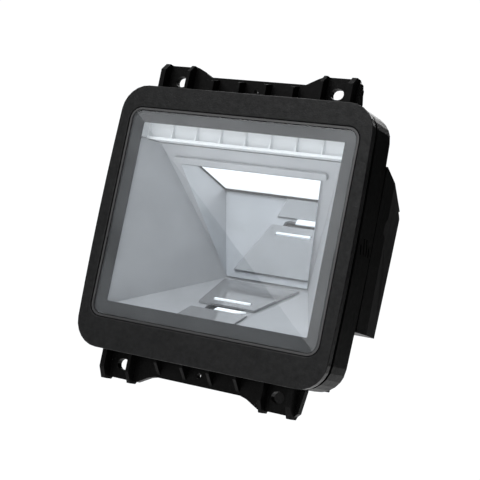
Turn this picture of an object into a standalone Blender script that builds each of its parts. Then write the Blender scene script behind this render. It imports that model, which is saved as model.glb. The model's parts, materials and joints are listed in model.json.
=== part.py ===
"""Panel-mount presentation barcode scanner, built as an assembly of separate pieces.

All sizes are in millimetres in the window frame: X right, Y towards the back, Z up, with zero at the
centre of the window's surround. Every piece hangs under one empty that moves this frame so that the
centre of the whole object's box is the world origin.
"""
import math

import bmesh
import bpy
from mathutils import Matrix, Vector

MM = 0.001
GAP = 0.3

# Front face and its outline
FRONT_Y = -0.6
BEZEL_BACK = 2.4
SIDE_HALF = 57.8
SIDE_BOW = 1.2
TOP_Z = 54.3
BOTTOM_Z = -57.7
CORNER_R = 11.0
REVEAL_INSET = 2.6
SKIRT_WALL = 1.8
SKIRT_BACK = 5.1

# Window
RING_HALF_X = 53.1
RING_HALF_Z = 44.7
GLASS_HALF_X = 51.9
GLASS_HALF_Z = 43.5
GLASS_R = 3.9
GLASS_FRONT = 0.0
GLASS_BACK = 0.9
VIEW_HALF_X = 46.8
VIEW_LOW = -37.9
VIEW_HIGH = 38.8

# Housing between the bezel and the rear cover
HOUSING_FRONT = 4.9
HOUSING_BACK = 18.5
HOUSING_WALL = 2.0
LEDGE_FRONT = 6.2
LEDGE_BACK = 7.6

# Mounting flanges above and below
FLANGE_FRONT = 7.6
FLANGE_BACK = 10.6
RIB_FRONT = 2.7
RIB_BACK = 14.0
DEEP_RIB_BACK = 24.4
RIB_PITCH = 12.4
EAR_TOP = 65.5
EAR_BOTTOM = -68.6
RIB_PROUD = 0.2
LOW_RIB_PROUD = 1.0
SLOT_X = 36.4
SLOT_TOP = 58.9
SLOT_BOTTOM = -62.5
SLOT_WIDTH = 5.8
SLOT_HEIGHT = 4.6

# Rear cover
COVER_FRONT = HOUSING_BACK + GAP
COVER_KINK = 30.0
COVER_BACK = 59.5
COVER_WALL = 2.2
HUMP_HALF = 58.8
HUMP_TOP = 34.3
HUMP_BOTTOM = -31.9
HUMP_BACK_TOP = 19.0
HUMP_BACK_HALF = 52.2
BACK_LEAN = 3.5
PANEL_SLOPE = (HUMP_HALF - 0.4 - HUMP_BACK_HALF) / (COVER_BACK - COVER_KINK)
PANEL_STEP = 1.0
BULGE_HALF = 45.5
BULGE_BOTTOM = -57.0
BULGE_BACK = 37.0

# Light chamber: a fold mirror and a floor that meet in a wedge
MIRROR_TOP = (14.8, 25.0)
MIRROR_FOOT = (49.7, -17.1)
MIRROR_TOP_HALF = 33.1
MIRROR_FOOT_HALF = 19.8
MIRROR_THICK = 1.0
MIRROR_SEAT = 1.3
FLOOR_SLOPE = 0.468
CHAMBER_FRONT = 1.8
CHAMBER_HALF = 47.3
CHAMBER_TOP = 32.3
CHAMBER_WALL = 1.5
SIDE_SLOPE = 0.566

# Light bar above the mirror
CELL_COUNT = 8
CELL_PITCH = 11.75
REFLECTOR_FRONT = 6.3
REFLECTOR_BACK = 11.0
REFLECTOR_LOW = 32.8
REFLECTOR_HIGH = 42.3

# Camera that looks up at the mirror
CAMERA_Y = 21.5
CAMERA_Z = -44.0
CAMERA_TILT = math.radians(-10.7)
LENS_R = 6.0
HOLDER_R = 8.0
CAMERA_SCREWS = ((-10.2, -7.0), (10.2, -7.0))

# Electronics
BOARD_FRONT = 53.2
BOARD_BACK = 54.6
BOARD_LOW = -11.0
BOARD_HIGH = 16.0
BOARD_SCREWS = ((-40.0, 12.0), (40.0, -7.0))
SOCKET_X = -42.0

MATERIALS = {
    "black_texture": ((0.020, 0.021, 0.022), 0.55, 0.0),
    "black_plain": ((0.010, 0.010, 0.011), 0.50, 0.0),
    "black_rubber": ((0.012, 0.012, 0.012), 0.75, 0.0),
    "mask_grey": ((0.060, 0.065, 0.070), 0.40, 0.0),
    "clear_glass": ((0.80, 0.84, 0.86), 0.03, 0.0),
    "chamber_grey": ((0.34, 0.36, 0.38), 0.35, 0.0),
    "mirror_silver": ((0.86, 0.88, 0.90), 0.02, 1.0),
    "smoked_window": ((0.16, 0.17, 0.18), 0.06, 0.0),
    "white_diffuser": ((0.90, 0.93, 0.95), 0.30, 0.0),
    "reflector_white": ((0.72, 0.76, 0.79), 0.25, 0.0),
    "board_green": ((0.03, 0.14, 0.07), 0.45, 0.0),
    "board_white": ((0.70, 0.72, 0.72), 0.40, 0.0),
    "chip_black": ((0.02, 0.02, 0.02), 0.40, 0.0),
    "tin_plate": ((0.62, 0.62, 0.60), 0.30, 1.0),
    "steel": ((0.55, 0.55, 0.56), 0.28, 1.0),
    "gold_plate": ((0.80, 0.58, 0.22), 0.25, 1.0),
    "flex_amber": ((0.45, 0.20, 0.04), 0.40, 0.0),
    "foam_grey": ((0.08, 0.08, 0.08), 0.90, 0.0),
    "label_silver": ((0.40, 0.41, 0.42), 0.50, 0.0),
}

AXIS_FRAMES = {
    "X": Matrix(((0, 0, 1), (1, 0, 0), (0, 1, 0))),
    "Y": Matrix(((1, 0, 0), (0, 0, -1), (0, 1, 0))),
    "Z": Matrix.Identity(3),
}


# ---------------------------------------------------------------- scene and helpers

def clear_scene():
    for item in list(bpy.data.objects):
        bpy.data.objects.remove(item, do_unlink=True)


def new_collection(name):
    collection = bpy.data.collections.new(name)
    bpy.context.scene.collection.children.link(collection)
    return collection


def make_material(name):
    colour, roughness, metallic = MATERIALS[name]
    material = bpy.data.materials.new(name)
    material.use_nodes = True
    shader = material.node_tree.nodes["Principled BSDF"]
    shader.inputs["Base Color"].default_value = (*colour, 1.0)
    shader.inputs["Roughness"].default_value = roughness
    shader.inputs["Metallic"].default_value = metallic
    return material


def add_object(name, mesh):
    item = bpy.data.objects.new(name, mesh)
    bpy.context.scene.collection.objects.link(item)
    return item


def mesh_from(fill, name="piece"):
    """Make a mesh object from a function that fills a bmesh."""
    mesh = bpy.data.meshes.new(name)
    work = bmesh.new()
    fill(work)
    bmesh.ops.recalc_face_normals(work, faces=work.faces)
    work.to_mesh(mesh)
    work.free()
    return add_object(name, mesh)


def bake(item):
    """Replace an object's mesh by what its modifiers make of it."""
    graph = bpy.context.evaluated_depsgraph_get()
    mesh = bpy.data.meshes.new_from_object(item.evaluated_get(graph))
    item.modifiers.clear()
    old = item.data
    item.data = mesh
    bpy.data.meshes.remove(old)
    return item


def combine(item, tools, operation):
    """Join or cut an object by a list of tools, which are used up."""
    for tool in tools:
        step = item.modifiers.new(operation.lower(), "BOOLEAN")
        step.operation = operation
        step.solver = "EXACT"
        step.object = tool
        bake(item)
        bpy.data.objects.remove(tool, do_unlink=True)
    return item


def extruded(outlines, axis, start, end, frame=None):
    """A flat outline, with holes where outlines nest, drawn out along an axis."""
    curve = bpy.data.curves.new("outline", "CURVE")
    curve.dimensions = "2D"
    curve.fill_mode = "BOTH"
    curve.extrude = abs(end - start) * MM / 2
    for outline in outlines:
        spline = curve.splines.new("POLY")
        spline.points.add(len(outline) - 1)
        for point, (across, along) in zip(spline.points, outline):
            point.co = (across * MM, along * MM, 0.0, 1.0)
        spline.use_cyclic_u = True
    sketch = add_object("outline", curve)
    place = AXIS_FRAMES[axis].to_4x4() if frame is None else frame
    shift = (start + end) / 2 * MM * (-1 if axis == "Y" else 1)
    graph = bpy.context.evaluated_depsgraph_get()
    mesh = bpy.data.meshes.new_from_object(sketch.evaluated_get(graph))
    work = bmesh.new()
    work.from_mesh(mesh)
    bmesh.ops.remove_doubles(work, verts=work.verts, dist=1e-6)
    bmesh.ops.transform(work, matrix=place @ Matrix.Translation((0, 0, shift)), verts=work.verts)
    bmesh.ops.recalc_face_normals(work, faces=work.faces)
    work.to_mesh(mesh)
    work.free()
    bpy.data.objects.remove(sketch, do_unlink=True)
    return add_object("piece", mesh)


def box(low, high):
    size = [(b - a) * MM for a, b in zip(low, high)]
    middle = [(a + b) * MM / 2 for a, b in zip(low, high)]

    def fill(work):
        bmesh.ops.create_cube(work, size=1.0)
        bmesh.ops.scale(work, vec=size, verts=work.verts)
        bmesh.ops.translate(work, vec=middle, verts=work.verts)
    return mesh_from(fill)


def rod(centre, radius, start, end, axis="Y", sides=24):
    """A cylinder between two places on an axis. The centre is given in the other two axes."""
    places = {
        "X": ((start + end) / 2, centre[0], centre[1]),
        "Y": (centre[0], (start + end) / 2, centre[1]),
        "Z": (centre[0], centre[1], (start + end) / 2),
    }

    def fill(work):
        length = abs(end - start) * MM
        bmesh.ops.create_cone(work, cap_ends=True, segments=sides, radius1=radius * MM,
                              radius2=radius * MM, depth=length)
        turn = AXIS_FRAMES[axis].to_4x4()
        place = Matrix.Translation(Vector(places[axis]) * MM)
        bmesh.ops.transform(work, matrix=place @ turn, verts=work.verts)
    return mesh_from(fill)


def turned(profile, sides=40):
    """A ring about Z from a closed profile of (radius, height) points, outer side first, top down."""
    mesh = bpy.data.meshes.new("profile")
    points = [(radius * MM, 0.0, height * MM) for radius, height in profile]
    edges = [(i, (i + 1) % len(points)) for i in range(len(points))]
    mesh.from_pydata(points, edges, [])
    item = add_object("piece", mesh)
    step = item.modifiers.new("turn", "SCREW")
    step.steps = sides
    step.render_steps = sides
    step.use_merge_vertices = True
    step.merge_threshold = 0.00001
    bake(item)
    work = bmesh.new()
    work.from_mesh(item.data)
    bmesh.ops.remove_doubles(work, verts=work.verts, dist=1e-6)
    bmesh.ops.recalc_face_normals(work, faces=work.faces)
    work.to_mesh(item.data)
    work.free()
    return item


def round_edges(item, test, width, segments=3):
    """Round the edges whose two ends and middle pass a test on (x, y, z) in millimetres."""
    work = bmesh.new()
    work.from_mesh(item.data)
    chosen = []
    for edge in work.edges:
        if len(edge.link_faces) != 2 or edge.calc_face_angle(0.0) < math.radians(25):
            continue
        ends = [vert.co / MM for vert in edge.verts]
        if all(test(*end) for end in ends):
            chosen.append(edge)
    bmesh.ops.bevel(work, geom=chosen, offset=width * MM, segments=segments, profile=0.5,
                    affect="EDGES", clamp_overlap=True)
    work.to_mesh(item.data)
    work.free()
    return item


class Assembly:
    """Names pieces, gives them their material and hangs them under a parent."""

    def __init__(self, collection, root):
        self.collection = collection
        self.root = root
        self.materials = {name: make_material(name) for name in MATERIALS}

    def add(self, name, item, material, parent=None, smooth=True):
        item.name = name
        item.data.name = name
        item.data.materials.clear()
        item.data.materials.append(self.materials[material])
        corners = [Vector(corner) for corner in item.bound_box]
        middle = (corners[0] + corners[6]) / 2
        if parent is not None:
            middle = Vector((0.0, 0.0, middle.z))
        item.data.transform(Matrix.Translation(-middle))
        item.location = middle
        item.parent = parent or self.root
        if smooth:
            item.data.shade_smooth()
            item.data.set_sharp_from_angle(angle=math.radians(30))
        for owner in list(item.users_collection):
            owner.objects.unlink(item)
        self.collection.objects.link(item)
        return item

    def add_each(self, name, items, material, parent=None, smooth=True):
        for number, item in enumerate(items, 1):
            self.add(f"{name}_{number}", item, material, parent, smooth)


# ---------------------------------------------------------------- outlines

def arc(centre_x, centre_z, radius, start, end, steps):
    points = []
    for i in range(steps + 1):
        angle = math.radians(start + (end - start) * i / steps)
        points.append((centre_x + radius * math.cos(angle), centre_z + radius * math.sin(angle)))
    return points


def rounded(half, low, high, radius, steps=5, centre=0.0):
    """A rounded rectangle, anticlockwise from its lower right corner."""
    right = centre + half - radius
    left = centre - half + radius
    return (arc(right, low + radius, radius, -90, 0, steps)
            + arc(right, high - radius, radius, 0, 90, steps)
            + arc(left, high - radius, radius, 90, 180, steps)
            + arc(left, low + radius, radius, 180, 270, steps))


def front_outline(inset=0.0, steps=6, side_steps=6):
    """The bezel's outline, whose sides bow outwards a little, moved in by an inset."""
    radius = CORNER_R - inset * 0.6
    low = BOTTOM_Z + inset
    high = TOP_Z - inset
    half = SIDE_HALF - inset
    middle = (low + high) / 2
    reach = (high - low) / 2
    right = []
    right += arc(half - radius, low + radius, radius, -90, 0, steps)
    for i in range(1, side_steps):
        right.append((half, low + radius + (high - low - 2 * radius) * i / side_steps))
    right += arc(half - radius, high - radius, radius, 0, 90, steps)
    bowed = []
    for x, z in right:
        bow = SIDE_BOW * (1 - ((z - middle) / reach) ** 2)
        bowed.append((x + bow * x / half, z))
    return bowed + [(-x, z) for x, z in reversed(bowed)]


def mirrored_outline(right_half):
    """Close a right-hand outline, given from bottom to top, with its reflection."""
    return list(right_half) + [(-x, z) for x, z in reversed(right_half)]


def slot_outline(centre_x, centre_z, width, height, steps=6):
    reach = (width - height) / 2
    return (arc(centre_x + reach, centre_z, height / 2, -90, 90, steps)
            + arc(centre_x - reach, centre_z, height / 2, 90, 270, steps))


def circle(centre_x, centre_z, radius, steps=16):
    return arc(centre_x, centre_z, radius, 0, 360 - 360 / steps, steps - 1)


def plane_frame(point_yz, angle):
    """A frame whose X is the object's X and whose Y climbs at an angle in the YZ plane."""
    turn = Matrix.Rotation(angle, 4, "X")
    return Matrix.Translation((0, point_yz[0] * MM, point_yz[1] * MM)) @ turn


def floor_height(y):
    return MIRROR_FOOT[1] - FLOOR_SLOPE * (MIRROR_FOOT[0] - y)


def chamber_half(y):
    return CHAMBER_HALF - SIDE_SLOPE * (y - CHAMBER_FRONT)


MIRROR_RUN = (MIRROR_TOP[0] - MIRROR_FOOT[0], MIRROR_TOP[1] - MIRROR_FOOT[1])
MIRROR_LENGTH = math.hypot(*MIRROR_RUN)
MIRROR_ANGLE = math.atan2(MIRROR_RUN[1], MIRROR_RUN[0])
FLOOR_ANGLE = math.atan(FLOOR_SLOPE)


# ---------------------------------------------------------------- front

def screw_places():
    return [(side * 45.5, z) for side in (-1, 1) for z in (47.5, -49.5)]


def front_bezel(kit):
    ring = rounded(RING_HALF_X + GAP, -RING_HALF_Z - GAP, RING_HALF_Z + GAP, GLASS_R + 1.5)
    plate = extruded([front_outline(), ring], "Y", FRONT_Y, BEZEL_BACK)
    round_edges(plate, lambda x, y, z: y < FRONT_Y + 0.1 and (abs(x) > 54 or abs(z) > 46), 1.2, 4)
    round_edges(plate, lambda x, y, z: y < FRONT_Y + 0.1 and abs(x) < 53.6 and abs(z) < 45.3, 0.5, 2)
    skirt = extruded([front_outline(REVEAL_INSET), front_outline(REVEAL_INSET + SKIRT_WALL)],
                     "Y", BEZEL_BACK - 0.3, SKIRT_BACK)
    seat_hole = rounded(50.5, -42.2, 43.1, 3.0)
    seat = extruded([rounded(54.2, -45.8, 45.8, 6.0), seat_hole], "Y", 2.6, 4.0)
    wider_ring = rounded(RING_HALF_X + 0.5, -RING_HALF_Z - 0.5, RING_HALF_Z + 0.5, GLASS_R + 1.5)
    rim = extruded([front_outline(REVEAL_INSET + 0.9), wider_ring], "Y", BEZEL_BACK - 0.3, 4.4)
    bosses = [rod(place, 2.3, BEZEL_BACK - 0.2, 5.8) for place in screw_places()]
    combine(plate, [skirt, rim, seat] + bosses, "UNION")
    combine(plate, [rod(place, 1.25, 1.6, 6.5, sides=12) for place in screw_places()], "DIFFERENCE")
    kit.add("front_bezel", plate, "black_texture")


def window_parts(kit):
    outer = rounded(RING_HALF_X, -RING_HALF_Z, RING_HALF_Z, GLASS_R + 1.2)
    inner = rounded(GLASS_HALF_X + GAP, -GLASS_HALF_Z - GAP, GLASS_HALF_Z + GAP, GLASS_R + 0.3)
    trim = extruded([outer, inner], "Y", -0.15, 1.5)
    kit.add("window_trim", trim, "black_plain")
    pane = extruded([rounded(GLASS_HALF_X, -GLASS_HALF_Z, GLASS_HALF_Z, GLASS_R)],
                    "Y", GLASS_FRONT, GLASS_BACK)
    round_edges(pane, lambda x, y, z: y < GLASS_FRONT + 0.1, 0.35, 2)
    kit.add("window_glass", pane, "clear_glass")
    border = extruded([rounded(GLASS_HALF_X - 0.1, -GLASS_HALF_Z + 0.1, GLASS_HALF_Z - 0.1, GLASS_R),
                       rounded(VIEW_HALF_X, VIEW_LOW, VIEW_HIGH, 0.5, 2)], "Y", 1.2, 1.5)
    kit.add("window_mask", border, "mask_grey")
    gasket = extruded([rounded(GLASS_HALF_X - 0.1, -GLASS_HALF_Z + 0.1, GLASS_HALF_Z - 0.1, GLASS_R),
                       rounded(GLASS_HALF_X - 1.3, -GLASS_HALF_Z + 1.3, GLASS_HALF_Z - 0.9, 3.0)],
                      "Y", 1.8, 2.3)
    kit.add("glass_gasket", gasket, "black_rubber")


def front_seal(kit):
    ring = extruded([front_outline(HOUSING_WALL + 0.6), front_outline(HOUSING_WALL + 2.4)],
                    "Y", SKIRT_BACK + GAP, LEDGE_FRONT - GAP)
    cut = [rod(place, 2.7, 4.0, 7.0) for place in screw_places()]
    combine(ring, cut, "DIFFERENCE")
    kit.add("front_seal", ring, "black_rubber")


def bezel_screws(kit):
    screws = []
    for place in screw_places():
        head = rod(place, 2.1, LEDGE_BACK + GAP, LEDGE_BACK + 1.8, sides=20)
        shank = rod(place, 0.95, 2.2, LEDGE_BACK + 0.8, sides=12)
        drive = rod(place, 0.8, LEDGE_BACK + 1.1, LEDGE_BACK + 3.0, sides=6)
        combine(head, [shank], "UNION")
        combine(head, [drive], "DIFFERENCE")
        screws.append(head)
    kit.add_each("bezel_screw", screws, "steel")


# ---------------------------------------------------------------- housing

def flange_outline(top):
    """The flange plate, from its root inside the housing out to its two raised ears."""
    if top:
        right = [(46.8, 50.0), (46.8, 56.5), (45.6, 64.0), (44.0, EAR_TOP), (29.4, EAR_TOP),
                 (27.0, 64.5), (22.0, 61.8)]
        return mirrored_outline(right)
    right = [(20.0, -64.9), (23.0, -65.7), (28.6, EAR_BOTTOM), (44.6, EAR_BOTTOM), (46.2, -67.0),
             (47.4, -58.0), (47.4, -52.0)]
    return mirrored_outline(right)


def ear_rib(x, thick, top, back=RIB_BACK):
    """A tall rib beside a slot, with its outer corners cut off."""
    if top:
        tip = EAR_TOP + RIB_PROUD
        side = [(RIB_FRONT, 53.0), (RIB_FRONT, 62.6), (5.8, tip), (9.2, tip), (back, 62.4), (back, 53.0)]
    else:
        tip = EAR_BOTTOM - LOW_RIB_PROUD
        side = [(RIB_FRONT, -56.6), (RIB_FRONT, -65.0), (5.6, tip), (10.0, tip), (12.0, -67.4)]
        if back > HOUSING_BACK:
            side += [(back, -65.2), (back, -58.5), (HOUSING_BACK - 0.5, -58.5), (HOUSING_BACK - 1.1, -56.6)]
        else:
            side += [(back + 0.8, -57.4), (back + 0.8, -56.6)]
    return extruded([side], "X", x - thick / 2, x + thick / 2)


def web_rib(x, top):
    """A low triangular rib between the ears."""
    if top:
        side = [(RIB_FRONT, 53.0), (RIB_FRONT, 59.4), (FLANGE_FRONT + 0.5, 60.9),
                (FLANGE_BACK - 0.5, 60.9), (RIB_BACK, 57.5), (RIB_BACK, 53.0)]
    else:
        side = [(RIB_FRONT, -56.6), (RIB_FRONT, -59.0), (FLANGE_FRONT + 0.5, -64.1),
                (FLANGE_BACK - 0.5, -64.1), (RIB_BACK, -61.0), (RIB_BACK, -56.6)]
    return extruded([side], "X", x - 0.7, x + 0.7)


def flange(top):
    plate = extruded([flange_outline(top)], "Y", FLANGE_FRONT, FLANGE_BACK)
    ribs = []
    for side in (-1, 1):
        ribs.append(web_rib(side * RIB_PITCH * 0.5, top))
        ribs.append(web_rib(side * RIB_PITCH * 1.5, top))
        ribs.append(ear_rib(side * RIB_PITCH * 2.5, 1.5, top, RIB_BACK if top else DEEP_RIB_BACK))
        ribs.append(ear_rib(side * (RIB_PITCH * 3.5 + 0.2), 2.2, top))
    return [plate] + ribs


def flange_holes():
    """The mounting slots in the ears and a pilot hole in the middle of each flange."""
    holes = [rod((0.0, z), 1.0, FLANGE_FRONT - 1, FLANGE_BACK + 1, sides=12) for z in (57.3, -60.6)]
    for side in (-1, 1):
        for z in (SLOT_TOP, SLOT_BOTTOM):
            outline = slot_outline(side * SLOT_X, z, SLOT_WIDTH, SLOT_HEIGHT)
            holes.append(extruded([outline], "Y", FLANGE_FRONT - 1, FLANGE_BACK + 1))
    return holes


def sound_slots():
    """Four slanted slots for the speaker, through the right-hand wall."""
    slots = []
    for y, z, reach in ((7.9, -0.9, 1.6), (10.5, 0.6, 2.9), (13.1, 0.6, 2.9), (15.7, -0.9, 1.6)):
        lean = math.radians(14)
        outline = slot_outline(0.0, 0.0, 2 * reach + 1.0, 1.0, 3)
        turned_points = []
        for across, along in outline:
            angle = math.pi / 2 + lean
            turned_points.append((y + across * math.cos(angle) - along * math.sin(angle),
                                  z + across * math.sin(angle) + along * math.cos(angle)))
        slots.append(extruded([turned_points], "X", 54.0, 62.0))
    return slots


def rear_opening():
    """The opening in the housing's back wall: wide for the hump, narrower below for the camera."""
    right = [(42.5, -53.0), (42.5, -29.0), (53.5, -29.0), (53.5, 32.0)]
    return mirrored_outline(right)


def tab_places():
    return [(-38.0, 38.5), (38.0, 38.5), (-49.0, -37.5), (49.0, -37.5)]


def main_housing(kit):
    tube = extruded([front_outline(0.2), front_outline(0.2 + HOUSING_WALL)],
                    "Y", HOUSING_FRONT, HOUSING_BACK)
    round_edges(tube, lambda x, y, z: y > HOUSING_BACK - 0.1 and (abs(x) > 57.4 or z > 52.6 or z < -56.4),
                0.8, 2)
    ledge_hole = rounded(50.9, -45.0, 45.0, 4.0)
    ledge = extruded([front_outline(1.2), ledge_hole], "Y", LEDGE_FRONT, LEDGE_BACK)
    back = extruded([front_outline(1.2), rear_opening()], "Y", HOUSING_BACK - 2.0, HOUSING_BACK - 0.02)
    combine(tube, [ledge, back] + flange(True) + flange(False), "UNION")
    holes = [rod(place, 1.5, LEDGE_FRONT - 1, LEDGE_BACK + 1, sides=12) for place in screw_places()]
    holes += [rod(place, 1.1, HOUSING_BACK - 4, HOUSING_BACK + 1, sides=12) for place in tab_places()]
    combine(tube, holes + flange_holes() + sound_slots(), "DIFFERENCE")
    kit.add("main_housing", tube, "black_texture")


# ---------------------------------------------------------------- rear cover

def hump(shrink, front, stations):
    """The hump's form, moved in by a shrink, from (depth, half width) stations front to back."""
    top_slope = (HUMP_BACK_TOP - HUMP_TOP) / (COVER_BACK - COVER_FRONT)

    def fill(work):
        loops = []
        for place, (y, half) in enumerate(stations):
            back = y - shrink if place == len(stations) - 1 else y
            near = front if place == 0 else back
            lean = BACK_LEAN if place == len(stations) - 1 else 0.0
            high = HUMP_TOP + top_slope * (y - COVER_FRONT) - shrink * 1.06
            low = HUMP_BOTTOM + shrink
            wide = half - shrink
            corners = [(wide, near - lean, low), (wide, near, high), (-wide, near, high), (-wide, near - lean, low)]
            loops.append([work.verts.new(Vector(corner) * MM) for corner in corners])
        for near, far in zip(loops, loops[1:]):
            for i in range(4):
                j = (i + 1) % 4
                work.faces.new((near[i], near[j], far[j], far[i]))
        work.faces.new(loops[0])
        work.faces.new(loops[-1])
    form = mesh_from(fill)
    radius = max(5.0 - shrink, 1.5)
    last = stations[-1][0] - shrink - BACK_LEAN - 0.5
    return round_edges(form, lambda x, y, z: y > last, radius, 4)


def side_panel(side):
    """The cutter that slopes the rear of the hump's side inwards behind a curved line."""
    line = [(54.5, -21.0), (41.0, -5.0), (29.5, 8.0)]
    line += arc(33.5, 10.5, 6.0, 195, 115, 6)
    line += [(46.0, 20.5), (66.0, 26.5), (66.0, -21.0)]
    cutter = extruded([line], "X", HUMP_HALF, HUMP_HALF + 8.0)
    for vertex in cutter.data.vertices:
        if vertex.co.x < (HUMP_HALF + 1.0) * MM:
            vertex.co.x -= PANEL_STEP * MM + PANEL_SLOPE * (vertex.co.y - COVER_KINK * MM)
        vertex.co.x *= side
    if side < 0:
        cutter.data.flip_normals()
    return cutter


def bulge(shrink, front):
    """The lower middle of the rear cover, which makes room for the camera."""
    form = box((-BULGE_HALF + shrink, front, BULGE_BOTTOM + shrink),
               (BULGE_HALF - shrink, BULGE_BACK - shrink, HUMP_BOTTOM + 6.0))
    round_edges(form, lambda x, y, z: y > BULGE_BACK - shrink - 0.1 or
                (z < BULGE_BOTTOM + shrink + 0.1 and y > front + 0.1), 3.0, 3)
    return form


def socket_window():
    """The opening under the hump for the interface socket."""
    return box((SOCKET_X - 7.8, 37.0, HUMP_BOTTOM - 3.0), (SOCKET_X + 7.8, 50.4, HUMP_BOTTOM + 4.0))


def rear_cover(kit):
    tapered = ((COVER_FRONT, HUMP_HALF), (COVER_KINK, HUMP_HALF - 0.4), (COVER_BACK, HUMP_BACK_HALF))
    outer = combine(hump(0.0, COVER_FRONT, tapered), [side_panel(side) for side in (-1, 1)], "DIFFERENCE")
    combine(outer, [bulge(0.0, COVER_FRONT)], "UNION")
    tabs = []
    for x, z in tab_places():
        inward = 33.0 if z > 0 else -31.0
        outline = rounded(4.5, min(z, inward) - 4.5, max(z, inward) + 4.5, 4.0, 4, centre=x)
        tabs.append(extruded([outline], "Y", COVER_FRONT, COVER_FRONT + 2.4))
    combine(outer, tabs, "UNION")
    inner = combine(hump(COVER_WALL, COVER_FRONT - 2.0, tapered), [bulge(COVER_WALL, COVER_FRONT - 2.0)],
                    "UNION")
    combine(outer, [inner], "DIFFERENCE")
    combine(outer, [rod(place, 2.6, BOARD_BACK + GAP, 57.4, sides=16) for place in BOARD_SCREWS], "UNION")
    holes = [rod(place, 1.7, COVER_FRONT - 1, COVER_FRONT + 4, sides=16) for place in tab_places()]
    holes += [rod(place, 1.25, BOARD_BACK - 1, 56.6, sides=12) for place in BOARD_SCREWS]
    combine(outer, holes + [socket_window()], "DIFFERENCE")
    kit.add("rear_cover", outer, "black_texture")
    back_angle = math.atan2(HUMP_BACK_TOP - HUMP_BOTTOM, BACK_LEAN)
    back_plane = plane_frame((COVER_BACK - BACK_LEAN, HUMP_BOTTOM), back_angle)
    label = extruded([rounded(20.0, 12.0, 34.0, 1.5, 3)], "Z", -0.6, -GAP, back_plane)
    kit.add("rear_label", label, "label_silver", smooth=False)


def rear_screws(kit):
    screws = []
    seat = COVER_FRONT + 2.4 + GAP
    for place in tab_places():
        head = rod(place, 2.8, seat, seat + 1.8, sides=24)
        shank = rod(place, 0.9, HOUSING_BACK - 3.6, seat + 0.5, sides=12)
        drive = rod(place, 1.2, seat + 0.7, seat + 3.0, sides=6)
        combine(head, [shank], "UNION")
        combine(head, [drive], "DIFFERENCE")
        screws.append(head)
    kit.add_each("rear_cover_screw", screws, "steel")


# ---------------------------------------------------------------- light chamber

def optical_chamber(kit):
    """Floor, two side walls and the mirror's bed, open towards the window and the light bar."""
    normal = Vector((-MIRROR_RUN[1], MIRROR_RUN[0])) / MIRROR_LENGTH
    if normal.x < 0:
        normal = -normal
    bed = (MIRROR_FOOT[0] + normal.x * MIRROR_SEAT, MIRROR_FOOT[1] + normal.y * MIRROR_SEAT)
    slope = MIRROR_RUN[1] / MIRROR_RUN[0]
    foot_y = (bed[1] - slope * bed[0] - floor_height(0.0)) / (FLOOR_SLOPE - slope)
    top_y = bed[0] + (CHAMBER_TOP - bed[1]) / slope
    stations = [(CHAMBER_FRONT, floor_height(CHAMBER_FRONT)), (foot_y, floor_height(foot_y)),
                (top_y, CHAMBER_TOP), (CHAMBER_FRONT, CHAMBER_TOP)]

    def fill(work):
        sides = []
        for side in (1, -1):
            sides.append([work.verts.new((side * chamber_half(y) * MM, y * MM, z * MM))
                          for y, z in stations])
        right, left = sides
        work.faces.new(right)
        work.faces.new(list(reversed(left)))
        work.faces.new((right[0], left[0], left[1], right[1]))
        work.faces.new((right[1], left[1], left[2], right[2]))
    shell = mesh_from(fill)
    thicken = shell.modifiers.new("wall", "SOLIDIFY")
    thicken.thickness = CHAMBER_WALL * MM
    thicken.offset = 1.0
    thicken.use_even_offset = True
    bake(shell)
    look_through = extruded([rounded(8.5, -16.0, 2.0, 2.0, 3)], "Z", -6.0, 6.0,
                            plane_frame((29.0, floor_height(29.0)), FLOOR_ANGLE))
    combine(shell, [look_through], "DIFFERENCE")
    kit.add("optical_chamber", shell, "chamber_grey", smooth=False)


def on_floor(outline, low, high):
    """A flat piece that lies on the chamber's floor. Its outline is (x, distance along the floor)."""
    frame = plane_frame((CHAMBER_FRONT, floor_height(CHAMBER_FRONT)), FLOOR_ANGLE)
    return extruded([outline], "Z", low, high, frame)


def along_floor(y):
    return (y - CHAMBER_FRONT) / math.cos(FLOOR_ANGLE)


def floor_parts(kit):
    back = along_floor(45.5)
    middle = along_floor(18.6)
    window = mirrored_outline([(13.2, middle), (18.4, back)])
    pane = on_floor(window, GAP, 1.2)
    bar_low = along_floor(22.4)
    bar_high = along_floor(24.2)
    combine(pane, [on_floor(mirrored_outline([(8.9, bar_low), (8.9, bar_high)]), -1.0, 3.0)], "DIFFERENCE")
    kit.add("floor_window", pane, "smoked_window", smooth=False)
    bar = on_floor(mirrored_outline([(8.5, bar_low + 0.4), (8.5, bar_high - 0.4)]), GAP, 1.7)
    kit.add("aimer_diffuser", bar, "white_diffuser", smooth=False)
    plate_end = along_floor(13.4)
    plate = on_floor(mirrored_outline([(13.2, along_floor(2.6)), (13.2, plate_end)]), GAP, 0.9)
    kit.add("floor_front_plate", plate, "smoked_window", smooth=False)
    lamp = [(-2.5, plate_end + GAP), (7.0, plate_end + GAP), (11.0, along_floor(16.4)), (-2.5, along_floor(16.4))]
    strip = on_floor(lamp, GAP, 0.9)
    kit.add("status_diffuser", strip, "white_diffuser", smooth=False)


def mirror_parts(kit):
    frame = plane_frame(MIRROR_FOOT, MIRROR_ANGLE)
    outline = mirrored_outline([(MIRROR_FOOT_HALF, 1.0), (MIRROR_TOP_HALF, MIRROR_LENGTH)])
    mirror = extruded([outline], "Z", -MIRROR_THICK, 0.0, frame)
    kit.add("fold_mirror", mirror, "mirror_silver", smooth=False)
    clamp = extruded([rounded(36.0, MIRROR_LENGTH + 0.4, MIRROR_LENGTH + 3.2, 0.6, 2)],
                     "Z", -MIRROR_SEAT + GAP, 0.3, frame)
    kit.add("mirror_clamp", clamp, "chamber_grey", smooth=False)


# ---------------------------------------------------------------- light bar

def cell_centres():
    return [(i - (CELL_COUNT - 1) / 2) * CELL_PITCH for i in range(CELL_COUNT)]


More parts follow.
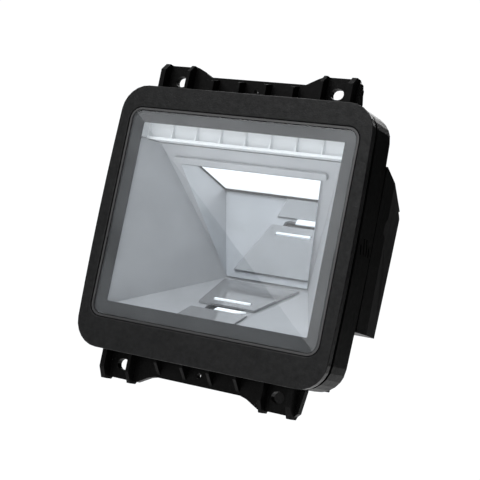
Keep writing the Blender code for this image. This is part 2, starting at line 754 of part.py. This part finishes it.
def light_bar(kit):
    half = CELL_COUNT * CELL_PITCH / 2 + 0.6
    reach = CELL_PITCH / 2 - 0.3
    middle = (REFLECTOR_LOW + REFLECTOR_HIGH) / 2
    face = [(REFLECTOR_FRONT - 1, REFLECTOR_HIGH - 0.8), (REFLECTOR_FRONT + 0.4, REFLECTOR_HIGH - 0.8),
            (REFLECTOR_FRONT + 2.6, REFLECTOR_LOW + 1.2), (REFLECTOR_FRONT - 1, REFLECTOR_LOW + 1.2)]
    cells = [extruded([face], "X", x - reach, x + reach) for x in cell_centres()]
    cells += [box((x - 2.2, REFLECTOR_BACK - 1.6, middle - 2.2), (x + 2.2, REFLECTOR_BACK + 1, middle + 2.2))
              for x in cell_centres()]
    body = combine(box((-half, REFLECTOR_FRONT, REFLECTOR_LOW), (half, REFLECTOR_BACK, REFLECTOR_HIGH)),
                   cells, "DIFFERENCE")
    cheeks = [box((x - 0.75, 1.9, REFLECTOR_LOW + 0.1), (x + 0.75, REFLECTOR_BACK - 0.1, REFLECTOR_HIGH - 0.1))
              for x in (-half - 0.5, half + 0.5)]
    combine(body, cheeks, "UNION")
    kit.add("led_reflector", body, "reflector_white", smooth=False)
    board = box((-half, REFLECTOR_BACK + GAP, REFLECTOR_LOW + 0.6), (half, REFLECTOR_BACK + 1.5, REFLECTOR_HIGH))
    kit.add("led_board", board, "board_white", smooth=False)
    chips = [box((x - 1.6, REFLECTOR_BACK - 0.8, middle - 1.6), (x + 1.6, REFLECTOR_BACK, middle + 1.6))
             for x in cell_centres()]
    kit.add_each("led_chip", chips, "white_diffuser", smooth=False)
    ribbon = [(12.9, 40.2), (13.6, 40.2), (15.8, 34.2), (16.1, 31.9), (36.4, 7.4), (50.6, 3.4), (50.6, 3.0),
              (36.1, 7.0), (15.7, 31.7), (15.4, 34.1), (13.2, 39.8), (12.9, 39.8)]
    kit.add("led_flex_cable", extruded([ribbon], "X", -30.0, -22.0), "flex_amber", smooth=False)


# ---------------------------------------------------------------- camera

def camera_parts(kit, camera, focus):
    holder = turned([(HOLDER_R, 0.0), (HOLDER_R, -5.6), (LENS_R + GAP, -5.6), (LENS_R + GAP, 0.0)])
    base = extruded([rounded(12.0, -9.2, 8.4, 1.5, 2), circle(0.0, 0.0, LENS_R + GAP, 40)], "Z", -6.6, -5.0,
                    Matrix.Identity(4))
    combine(holder, [base], "UNION")
    combine(holder, [rod(place, 0.9, -7.5, -4.5, "Z", 10) for place in CAMERA_SCREWS], "DIFFERENCE")
    kit.add("lens_holder", holder, "black_plain", camera)
    barrel = turned([(LENS_R, 3.0), (LENS_R, -4.6), (LENS_R - 2.2, -4.6), (LENS_R - 2.2, 1.8),
                     (LENS_R - 1.2, 3.0)])
    kit.add("lens_barrel", barrel, "black_plain", focus)
    glass = turned([(0.0, 2.2), (1.6, 2.0), (3.0, 1.3), (3.4, 0.8), (3.4, -1.2), (0.0, -1.2)], 32)
    kit.add("front_lens", glass, "clear_glass", focus)
    board = box((-12.0, -9.2, -8.1), (12.0, 8.4, -6.9))
    combine(board, [rod(place, 1.1, -9.0, -6.0, "Z", 12) for place in CAMERA_SCREWS], "DIFFERENCE")
    kit.add("camera_board", board, "board_green", camera, smooth=False)
    sensor = box((-3.4, -3.0, -6.6), (3.4, 3.0, -5.6))
    kit.add("image_sensor", sensor, "chip_black", camera, smooth=False)
    screws = [combine(rod(place, 1.6, -9.4, -8.4, "Z", 16), [rod(place, 0.6, -8.9, -5.3, "Z", 10)], "UNION")
              for place in CAMERA_SCREWS]
    kit.add_each("camera_screw", screws, "steel", camera)


def wire(route, radius):
    """A round cable through a list of places, as a closed mesh."""
    curve = bpy.data.curves.new("route", "CURVE")
    curve.dimensions = "3D"
    curve.bevel_depth = radius * MM
    curve.bevel_resolution = 2
    curve.use_fill_caps = True
    curve.resolution_u = 6
    spline = curve.splines.new("NURBS")
    spline.points.add(len(route) - 1)
    for point, place in zip(spline.points, route):
        point.co = (*(Vector(place) * MM), 1.0)
    spline.use_endpoint_u = True
    spline.order_u = 4
    guide = add_object("route", curve)
    graph = bpy.context.evaluated_depsgraph_get()
    mesh = bpy.data.meshes.new_from_object(guide.evaluated_get(graph))
    bpy.data.objects.remove(guide, do_unlink=True)
    work = bmesh.new()
    work.from_mesh(mesh)
    bmesh.ops.remove_doubles(work, verts=work.verts, dist=1e-6)
    bmesh.ops.recalc_face_normals(work, faces=work.faces)
    work.to_mesh(mesh)
    work.free()
    return add_object("piece", mesh)


def camera_cable(kit):
    route = [(14.5, 27.5, -49.0), (20.0, 29.0, -49.0), (26.0, 31.0, -44.0), (27.0, 32.0, -30.0),
             (28.0, 36.0, -27.0), (29.0, 45.0, -26.5), (29.0, 49.5, -20.0), (29.0, 49.4, -8.6),
             (29.0, 50.5, -8.6)]
    kit.add("camera_cable", wire(route, 0.9), "black_rubber")


# ---------------------------------------------------------------- electronics

def main_board(kit):
    board = extruded([rounded(44.0, BOARD_LOW, BOARD_HIGH, 1.5, 2)], "Y", BOARD_FRONT, BOARD_BACK)
    combine(board, [rod(place, 1.6, BOARD_FRONT - 1, BOARD_BACK + 1, sides=14) for place in BOARD_SCREWS],
            "DIFFERENCE")
    kit.add("main_board", board, "board_green", smooth=False)
    screws = []
    for place in BOARD_SCREWS:
        head = rod(place, 2.4, BOARD_FRONT - 1.9, BOARD_FRONT - GAP, sides=18)
        screws.append(combine(head, [rod(place, 0.95, BOARD_FRONT - 1.0, 56.0, sides=12)], "UNION"))
    kit.add_each("board_screw", screws, "steel")
    back = BOARD_FRONT - GAP
    kit.add("processor_chip", box((-8.0, back - 1.4, -6.0), (6.0, back, 8.0)), "chip_black", smooth=False)
    kit.add("memory_chip", box((9.0, back - 1.1, -4.0), (20.0, back, 7.0)), "chip_black", smooth=False)
    can = box((24.0, back - 2.6, -4.0), (37.0, back, 10.0))
    combine(can, [box((24.4, back - 2.2, -3.6), (36.6, back + 1.0, 9.6))], "DIFFERENCE")
    kit.add("shield_can", can, "tin_plate", smooth=False)
    sockets = [box((-31.0, back - 2.0, 1.2), (-21.0, back, 4.4)),
               box((24.0, back - 2.0, -10.2), (34.0, back, -7.4))]
    kit.add_each("board_connector", sockets, "board_white", smooth=False)


def interface_socket(kit):
    body = box((SOCKET_X - 7.5, 37.3, HUMP_BOTTOM + 0.5), (SOCKET_X + 7.5, 50.1, HUMP_BOTTOM + 16.0))
    cavity = box((SOCKET_X - 5.9, 39.6, HUMP_BOTTOM - 1.0), (SOCKET_X + 5.9, 47.2, HUMP_BOTTOM + 13.0))
    notch = box((SOCKET_X - 3.0, 46.0, HUMP_BOTTOM - 1.0), (SOCKET_X + 3.0, 48.8, HUMP_BOTTOM + 13.0))
    combine(body, [cavity, notch], "DIFFERENCE")
    kit.add("interface_socket", body, "black_plain", smooth=False)
    pins = [box((SOCKET_X + x - 0.25, 39.9, HUMP_BOTTOM + 4.0), (SOCKET_X + x + 0.25, 40.6, HUMP_BOTTOM + 12.0))
            for x in [-4.5 + i for i in range(10)]]
    carrier = box((SOCKET_X - 5.2, 39.9, HUMP_BOTTOM + 11.2), (SOCKET_X + 5.2, 41.6, HUMP_BOTTOM + 12.7))
    kit.add("socket_contacts", combine(carrier, pins, "UNION"), "gold_plate", smooth=False)


def speaker(kit):
    frame = box((52.4, 8.2, -9.5), (55.6, 16.0, 9.5))
    combine(frame, [box((54.2, 9.4, -8.3), (57.0, 14.8, 8.3))], "DIFFERENCE")
    kit.add("speaker_frame", frame, "black_plain", smooth=False)
    kit.add("speaker_diaphragm", box((54.5, 9.7, -8.0), (54.9, 14.5, 8.0)), "foam_grey", smooth=False)
    ring = extruded([rounded(3.9, -9.5, 9.5, 1.0, 2, centre=12.1), rounded(2.7, -8.3, 8.3, 0.8, 2, centre=12.1)],
                    "X", 55.9, 56.4)
    kit.add("speaker_gasket", ring, "foam_grey", smooth=False)


def rear_seal(kit):
    """A thin gasket just inside the rear cover's rim, against the housing's back wall."""
    right_outer = [(43.0, -54.4), (43.0, -29.4), (56.2, -29.4), (56.2, 30.5)]
    right_inner = [(41.9, -53.3), (41.9, -28.3), (55.1, -28.3), (55.1, 29.4)]
    ring = extruded([mirrored_outline(right_outer), mirrored_outline(right_inner)],
                    "Y", HOUSING_BACK + GAP, HOUSING_BACK + 1.5)
    kit.add("rear_seal", ring, "black_rubber", smooth=False)


def centre_on_origin(root, collection):
    """Move the window frame so that the middle of the object's box is the world origin."""
    bpy.context.view_layer.update()
    corners = [item.matrix_world @ vertex.co for item in collection.objects if item.type == "MESH"
               for vertex in item.data.vertices]
    for axis in range(3):
        places = [corner[axis] for corner in corners]
        root.location[axis] = -(min(places) + max(places)) / 2
    bpy.context.view_layer.update()


def build():
    clear_scene()
    collection = new_collection("presentation_barcode_scanner")
    root = bpy.data.objects.new("window_frame", None)
    camera = bpy.data.objects.new("camera_axis", None)
    camera.location = (0.0, CAMERA_Y * MM, CAMERA_Z * MM)
    camera.rotation_euler = (CAMERA_TILT, 0.0, 0.0)
    focus = bpy.data.objects.new("focus_axis", None)
    for empty, parent in ((root, None), (camera, root), (focus, camera)):
        empty.parent = parent
        collection.objects.link(empty)
    kit = Assembly(collection, root)
    front_bezel(kit)
    window_parts(kit)
    front_seal(kit)
    bezel_screws(kit)
    main_housing(kit)
    rear_cover(kit)
    rear_screws(kit)
    rear_seal(kit)
    optical_chamber(kit)
    floor_parts(kit)
    mirror_parts(kit)
    light_bar(kit)
    camera_parts(kit, camera, focus)
    camera_cable(kit)
    main_board(kit)
    interface_socket(kit)
    speaker(kit)
    centre_on_origin(root, collection)


build()
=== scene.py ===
import json
import math

import bpy
from mathutils import Matrix, Vector


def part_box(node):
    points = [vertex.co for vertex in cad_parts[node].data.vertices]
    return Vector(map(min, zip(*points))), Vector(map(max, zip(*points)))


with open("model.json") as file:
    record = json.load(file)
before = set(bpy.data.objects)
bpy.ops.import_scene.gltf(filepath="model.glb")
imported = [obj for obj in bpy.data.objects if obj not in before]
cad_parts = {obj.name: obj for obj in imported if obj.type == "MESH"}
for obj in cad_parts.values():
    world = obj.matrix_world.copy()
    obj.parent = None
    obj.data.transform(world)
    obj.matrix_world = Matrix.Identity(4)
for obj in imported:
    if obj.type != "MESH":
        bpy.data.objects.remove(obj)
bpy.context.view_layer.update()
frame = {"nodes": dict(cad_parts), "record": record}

MM = 0.001
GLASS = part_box("window_glass")
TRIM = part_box("window_trim")

# The window frame's origin: the middle of the window trim, on the glass's front face
ORIGIN = Vector(((TRIM[0].x + TRIM[1].x) / 2, GLASS[0].y, (TRIM[0].z + TRIM[1].z) / 2))


def at(x, y, z):
    """A place given in millimetres in the window frame, as a place in the row frame."""
    return ORIGIN + Vector((x, y, z)) * MM


# ---------------------------------------------------------------- materials

def ranged(tree, value, source, target, easing="LINEAR"):
    """A value moved from one range to another, and held at its ends."""
    ramp = tree.nodes.new("ShaderNodeMapRange")
    ramp.interpolation_type = easing
    for key, bound in zip(("From Min", "From Max", "To Min", "To Max"), (*source, *target)):
        ramp.inputs[key].default_value = bound
    tree.links.new(value, ramp.inputs["Value"])
    return ramp.outputs["Result"]


def product(tree, first, second):
    times = tree.nodes.new("ShaderNodeMath")
    times.operation = "MULTIPLY"
    tree.links.new(first, times.inputs[0])
    tree.links.new(second, times.inputs[1])
    return times.outputs["Value"]


class Surface:
    """A Principled material whose colour, roughness and bump come from procedural textures."""

    def __init__(self, name, colour, roughness, metallic=0.0):
        self.material = bpy.data.materials.new(name)
        self.material.use_nodes = True
        self.tree = self.material.node_tree
        self.shader = self.tree.nodes["Principled BSDF"]
        self.set(**{"Base Color": (*colour, 1.0), "Roughness": roughness, "Metallic": metallic})
        self.place = self.tree.nodes.new("ShaderNodeTexCoord").outputs["Object"]
        self.bump = None

    def set(self, **values):
        for key, value in values.items():
            self.shader.inputs[key].default_value = value
        return self

    def node(self, kind, **values):
        made = self.tree.nodes.new(kind)
        for key, value in values.items():
            made.inputs[key.replace("_", " ")].default_value = value
        return made

    def noise(self, size_mm, detail=4.0, roughness=0.55, stretch=(1, 1, 1)):
        """A noise value whose features are about size_mm across."""
        scale = self.node("ShaderNodeMapping")
        scale.inputs["Scale"].default_value = stretch
        self.tree.links.new(self.place, scale.inputs["Vector"])
        noise = self.node("ShaderNodeTexNoise", Scale=1.0 / (size_mm * MM), Detail=detail,
                          Roughness=roughness)
        self.tree.links.new(scale.outputs["Vector"], noise.inputs["Vector"])
        return noise.outputs["Fac"]

    def spread(self, value, low, high, source=(0.3, 0.7)):
        """A value as a number between low and high, as it runs over its source range."""
        return ranged(self.tree, value, source, (low, high))

    def tint(self, value, low, high):
        """The base colour runs between two colours as a value does."""
        mix = self.tree.nodes.new("ShaderNodeMix")
        mix.data_type = "RGBA"
        mix.inputs["A"].default_value = (*low, 1.0)
        mix.inputs["B"].default_value = (*high, 1.0)
        self.tree.links.new(self.spread(value, 0.0, 1.0), mix.inputs["Factor"])
        self.tree.links.new(mix.outputs["Result"], self.shader.inputs["Base Color"])
        return self

    def rough(self, value, low, high):
        self.tree.links.new(self.spread(value, low, high), self.shader.inputs["Roughness"])
        return self

    def relief(self, value, depth_mm, strength=1.0):
        """Add a bump of a real depth on top of the ones before it."""
        bump = self.node("ShaderNodeBump", Strength=strength, Distance=depth_mm * MM)
        self.tree.links.new(value, bump.inputs["Height"])
        if self.bump:
            self.tree.links.new(self.bump, bump.inputs["Normal"])
        self.bump = bump.outputs["Normal"]
        self.tree.links.new(self.bump, self.shader.inputs["Normal"])
        return self


def scaled(colour, factor):
    return tuple(channel * factor for channel in colour)


def moulded(name, colour, roughness, grain_mm=0.55, depth_mm=0.03, gloss=0.16):
    """Spark-textured moulded plastic with faint handling marks."""
    made = Surface(name, colour, roughness)
    marks = made.noise(9.0, 6.0, 0.6)
    grain = made.noise(grain_mm, 3.0, 0.6)
    made.tint(marks, scaled(colour, 0.82), scaled(colour, 1.2))
    made.rough(marks, roughness - 0.05, roughness + 0.07)
    made.relief(grain, depth_mm)
    made.relief(made.noise(grain_mm * 3, 2.0), depth_mm * 1.6, 0.8)
    sheen = made.spread(made.noise(grain_mm * 2.6, 5.0, 0.65), gloss * 0.8, gloss * 1.2, (0.35, 0.65))
    made.tree.links.new(sheen, made.shader.inputs["Specular IOR Level"])
    return made


def clouded(name, colour, roughness, metallic):
    """A surface whose colour varies slightly over it."""
    made = Surface(name, colour, roughness, metallic)
    return made.tint(made.noise(14.0, 5.0), scaled(colour, 0.92), scaled(colour, 1.05))


def satin(name, colour, roughness, metallic=0.0, depth_mm=0.004):
    """A smooth surface with slight unevenness, dust and small scratches."""
    made = clouded(name, colour, roughness, metallic)
    made.rough(made.noise(3.0, 6.0, 0.7), max(roughness - 0.04, 0.0), roughness + 0.08)
    if depth_mm:
        made.relief(made.noise(2.4, 1.0), depth_mm)
    return made


def polished(name, colour, roughness, metallic=0.0):
    """An optically flat surface: only a trace of haze varies over it."""
    made = clouded(name, colour, roughness, metallic)
    return made.rough(made.noise(12.0, 3.0), roughness, roughness + 0.02)


def brushed(name, colour, roughness):
    made = Surface(name, colour, roughness, 1.0)
    lines = made.noise(0.6, 5.0, 0.7, (1.0, 1.0, 9.0))
    made.tint(lines, scaled(colour, 0.85), scaled(colour, 1.08))
    made.rough(lines, roughness - 0.06, roughness + 0.12)
    made.relief(lines, 0.01)
    return made


def board(name, colour):
    """Solder resist over copper tracks."""
    made = Surface(name, colour, 0.42)
    tracks = made.tree.nodes.new("ShaderNodeTexVoronoi")
    tracks.distance = "MANHATTAN"
    tracks.inputs["Scale"].default_value = 320.0
    made.tree.links.new(made.place, tracks.inputs["Vector"])
    made.tint(tracks.outputs["Distance"], scaled(colour, 1.35), scaled(colour, 0.85))
    made.relief(tracks.outputs["Distance"], 0.03)
    return made


def clear_pane(name, tint, dust):
    """Clear glass as see-through with a trace of dust, and a reflection off its outward faces only."""
    made = Surface(name, (0.9, 0.95, 1.0), 0.02)
    tree = made.tree
    through = tree.nodes.new("ShaderNodeBsdfTransparent")
    through.inputs["Color"].default_value = (*tint, 1.0)
    gloss = tree.nodes.new("ShaderNodeBsdfGlossy")
    gloss.inputs["Roughness"].default_value = 0.0
    gloss.inputs["Color"].default_value = (0.96, 0.98, 1.0, 1.0)
    edge = tree.nodes.new("ShaderNodeFresnel")
    edge.inputs["IOR"].default_value = 1.5
    outside = tree.nodes.new("ShaderNodeMath")
    outside.operation = "SUBTRACT"
    outside.inputs[0].default_value = 1.0
    tree.links.new(tree.nodes.new("ShaderNodeNewGeometry").outputs["Backfacing"], outside.inputs[1])
    mirrored = product(tree, edge.outputs["Fac"], outside.outputs["Value"])
    clear = tree.nodes.new("ShaderNodeMixShader")
    tree.links.new(mirrored, clear.inputs["Fac"])
    tree.links.new(through.outputs["BSDF"], clear.inputs[1])
    tree.links.new(gloss.outputs["BSDF"], clear.inputs[2])
    film = tree.nodes.new("ShaderNodeMixShader")
    smear = made.spread(made.noise(26.0, 5.0), dust * 0.6, dust * 1.4)
    tree.links.new(smear, film.inputs["Fac"])
    tree.links.new(clear.outputs["Shader"], film.inputs[1])
    tree.links.new(made.shader.outputs["BSDF"], film.inputs[2])
    tree.links.new(film.outputs["Shader"], tree.nodes["Material Output"].inputs["Surface"])
    return made


# The colour of the painted glow on the diffuser and the white board
COOL_WHITE = (0.9, 0.95, 1.0)


# Emission: the stage's glowing paint, and painted glow on parts that are no lamps
def glowing(made, colour, strength):
    made.shader.inputs["Emission Color"].default_value = (*colour, 1.0)
    made.shader.inputs["Emission Strength"].default_value = strength
    return made


def make_surfaces():
    """Each material slot's surface, and a darker, duller black for the housing that is painted shade."""
    mask = polished("mask_grey", (0.009, 0.0095, 0.0105), 0.42)
    mask.set(**{"Specular IOR Level": 0.2})
    diffuser = satin("white_diffuser", (0.90, 0.93, 0.95), 0.35)
    reflector = satin("reflector_white", (0.76, 0.78, 0.80), 0.32, 0.0, 0.001)
    return {
        "black_texture": moulded("black_texture", (0.0040, 0.0041, 0.0043), 0.34, 0.75, 0.13, 0.15),
        # The housing's black is darker and duller than the bezel's: painted shade on its ears and sides
        "housing_painted_shade_black": moulded("housing_painted_shade_black", (0.0022, 0.0022, 0.0022), 0.40, 0.7, 0.05, 0.045),
        "trim_black": satin("trim_black", (0.020, 0.020, 0.021), 0.30),
        "camera_black": satin("camera_black", (0.012, 0.012, 0.013), 0.45),
        "seal_rubber": moulded("seal_rubber", (0.008, 0.008, 0.008), 0.80, 0.3, 0.01),
        "cable_black": satin("cable_black", (0.012, 0.012, 0.012), 0.55),
        "mask_grey": mask,
        "window_glass": clear_pane("window_glass", (0.97, 0.98, 0.985), 0.02),
        "lens_glass": polished("lens_glass", (0.03, 0.02, 0.06), 0.02),
        "chamber_grey": satin("chamber_grey", (0.405, 0.415, 0.435), 0.38, 0.2, 0.0),
        "mirror_silver": polished("mirror_silver", (0.88, 0.91, 0.94), 0.0, 1.0),
        "smoked_window": polished("smoked_window", (0.27, 0.275, 0.285), 0.06, 0.35),
        # The diffuser, the reflector and the white board glow though none is a lamp: painted light that
        # brightens the chamber
        "white_diffuser": glowing(diffuser, COOL_WHITE, 0.35),
        "reflector_white": glowing(reflector, (0.95, 0.98, 1.0), 0.04),
        "board_green": board("board_green", (0.03, 0.14, 0.07)),
        "board_white": glowing(satin("board_white", (0.80, 0.83, 0.84), 0.35), COOL_WHITE, 0.12),
        "chip_black": satin("chip_black", (0.02, 0.02, 0.02), 0.45),
        "tin_plate": brushed("tin_plate", (0.62, 0.62, 0.60), 0.30),
        "steel": brushed("steel", (0.55, 0.55, 0.56), 0.28),
        "gold_plate": brushed("gold_plate", (0.80, 0.58, 0.22), 0.25),
        "flex_amber": satin("flex_amber", (0.45, 0.20, 0.04), 0.35),
        "foam_grey": moulded("foam_grey", (0.08, 0.08, 0.08), 0.90, 0.4, 0.08),
        "label_silver": satin("label_silver", (0.40, 0.41, 0.42), 0.45),
    }


def finish_cad(surfaces):
    """Every CAD node takes its slot's surface, but the housing and the rear cover take a darker black that
    is painted shade.
    """
    slots = {part["node"]: part["material_slot"] for part in frame["record"]["subparts"]}
    # The housing and the rear cover take the darker black: painted shade
    slots.update({"main_housing": "housing_painted_shade_black", "rear_cover": "housing_painted_shade_black"})
    for name, node in frame["nodes"].items():
        node.data.materials.clear()
        node.data.materials.append(surfaces[slots[name]].material)


# ---------------------------------------------------------------- stage

def plate(name, corners):
    """A flat piece of the studio from its corners."""
    mesh = bpy.data.meshes.new(name)
    mesh.from_pydata([tuple(corner) for corner in corners], [], [tuple(range(len(corners)))])
    made = bpy.data.objects.new(name, mesh)
    bpy.context.scene.collection.objects.link(made)
    return made


def paint_stage(item, colour, strength):
    """Plain pale paint with a faint cloudiness, glowing a little."""
    made = Surface(item.name, colour, 0.8)
    made.tint(made.noise(400.0, 2.0), scaled(colour, 0.98), colour)
    glowing(made, (1.0, 1.0, 1.0), strength)
    item.data.materials.append(made.material)
    return made


# The room's light to the left and to the right, how it is changed overhead and at the far left,
# and how bright it is where the camera sees it directly
ROOM_LIGHT = 0.46
ROOM_SHADE = 0.02
LEVEL_GAIN = 0.85
OVERHEAD_GAIN = 3.0
FAR_LEFT_GAIN = 0.25
SEEN_ROOM = 1.05

# Millimetres in the window frame
FLOOR_Z = -380.0
FLOOR_HALF = 4000
FLOOR_CARD_RISE = 1.0
FLOOR_CARD_X = (-520, -40)
FLOOR_CARD_Y = (-420, 140)
GLARE_DISTANCE = 600.0
GLARE_DEPTH = 700.0

PAPER = (0.92, 0.92, 0.92)
SOFTBOX = (0.9, 0.9, 0.9)

CAMERA_PLACE = Vector((250.5, -430.3, -48.5))
CAMERA_RIGHT = Vector((0.8647, 0.4623, 0.1963))
CAMERA_DOWN = Vector((0.1299, 0.1716, -0.9766))
CAMERA_FORWARD = Vector((-0.4852, 0.87, 0.0883))
FOCAL_PIXELS = 1250.0
PICTURE_PIXELS = 480.0


def make_camera():
    camera = bpy.data.cameras.new("camera")
    camera.sensor_width = 36.0
    camera.lens = 36.0 * FOCAL_PIXELS / PICTURE_PIXELS
    camera.clip_start = 0.01
    camera.clip_end = 20.0
    item = bpy.data.objects.new("camera", camera)
    turn = Matrix((CAMERA_RIGHT, -CAMERA_DOWN, -CAMERA_FORWARD)).transposed()
    item.matrix_world = Matrix.Translation(at(*CAMERA_PLACE)) @ turn.to_4x4()
    bpy.context.scene.collection.objects.link(item)
    bpy.context.scene.camera = item


def seen_in_glass(x, z, distance):
    """Where a card at a distance in front of the window must be to be seen at (x, z) on the glass."""
    image = Vector((CAMERA_PLACE.x, -CAMERA_PLACE.y, CAMERA_PLACE.z))
    reach = (image.y + distance) / image.y
    return image + (Vector((x, 0.0, z)) - image) * reach


def glare_card():
    """A softbox whose edge is seen in the glass as the diagonal between two of its corners."""
    half_x = (GLASS[1].x - GLASS[0].x) / 2 / MM
    half_z = (GLASS[1].z - GLASS[0].z) / 2 / MM
    start = seen_in_glass(-half_x, half_z, GLARE_DISTANCE)
    end = seen_in_glass(half_x, -half_z, GLARE_DISTANCE)
    run = end - start
    above = Vector((-run.z, 0.0, run.x)).normalized()
    if above.z < 0:
        above = -above
    far = above * GLARE_DEPTH
    corners = [start - run, end + run, end + run + far, start - run + far]
    card = plate("glare_card", [at(*corner) for corner in corners])
    paint_stage(card, SOFTBOX, 1.2)


def make_world():
    """A soft pale room, darker to the right and lighter overhead, and white where it is seen directly."""
    world = bpy.data.worlds.new("studio")
    world.use_nodes = True
    bpy.context.scene.world = world
    tree = world.node_tree
    background = tree.nodes["Background"]
    background.inputs["Color"].default_value = (0.98, 0.99, 1.0, 1.0)
    split = tree.nodes.new("ShaderNodeSeparateXYZ")
    tree.links.new(tree.nodes.new("ShaderNodeTexCoord").outputs["Generated"], split.inputs["Vector"])
    across, up = split.outputs["X"], split.outputs["Z"]
    side = ranged(tree, across, (-0.75, 0.12), (ROOM_LIGHT, ROOM_SHADE), "SMOOTHSTEP")
    overhead = ranged(tree, up, (0.0, 0.7), (LEVEL_GAIN, OVERHEAD_GAIN))
    far_left = ranged(tree, across, (-0.95, -0.55), (FAR_LEFT_GAIN, 1.0))
    room = product(tree, product(tree, side, overhead), far_left)
    direct = tree.nodes.new("ShaderNodeMix")
    tree.links.new(tree.nodes.new("ShaderNodeLightPath").outputs["Is Camera Ray"], direct.inputs["Factor"])
    tree.links.new(room, direct.inputs["A"])
    direct.inputs["B"].default_value = SEEN_ROOM
    tree.links.new(direct.outputs["Result"], background.inputs["Strength"])


def level_plate(name, x_range, y_range, z):
    (left, right), (front, back) = x_range, y_range
    return plate(name, [at(left, front, z), at(right, front, z), at(right, back, z), at(left, back, z)])


def make_stage():
    """A pale floor, a brighter card on it that the mirror shows, the room and the softbox."""
    floor_range = (-FLOOR_HALF, FLOOR_HALF)
    paint_stage(level_plate("floor", floor_range, floor_range, FLOOR_Z), PAPER, 0.80)
    card = level_plate("floor_card", FLOOR_CARD_X, FLOOR_CARD_Y, FLOOR_Z + FLOOR_CARD_RISE)
    paint_stage(card, PAPER, 0.9)
    make_world()
    glare_card()


def soft_light(name, place, size, power):
    """A square softbox turned to the scanner, with its size in metres and its power in watts."""
    light = bpy.data.lights.new(name, "AREA")
    light.shape = "SQUARE"
    light.size = size
    light.energy = power
    item = bpy.data.objects.new(name, light)
    item.location = at(*place)
    item.rotation_euler = (at(0, 10, 0) - item.location).to_track_quat("-Z", "Y").to_euler()
    bpy.context.scene.collection.objects.link(item)


surfaces = make_surfaces()
finish_cad(surfaces)
make_stage()
make_camera()
soft_light("back", (-200, 600, 420), 0.5, 3.0)
soft_light("key", (-40, -170, 320), 0.3, 1.1)
bpy.context.scene.view_settings.view_transform = "Standard"
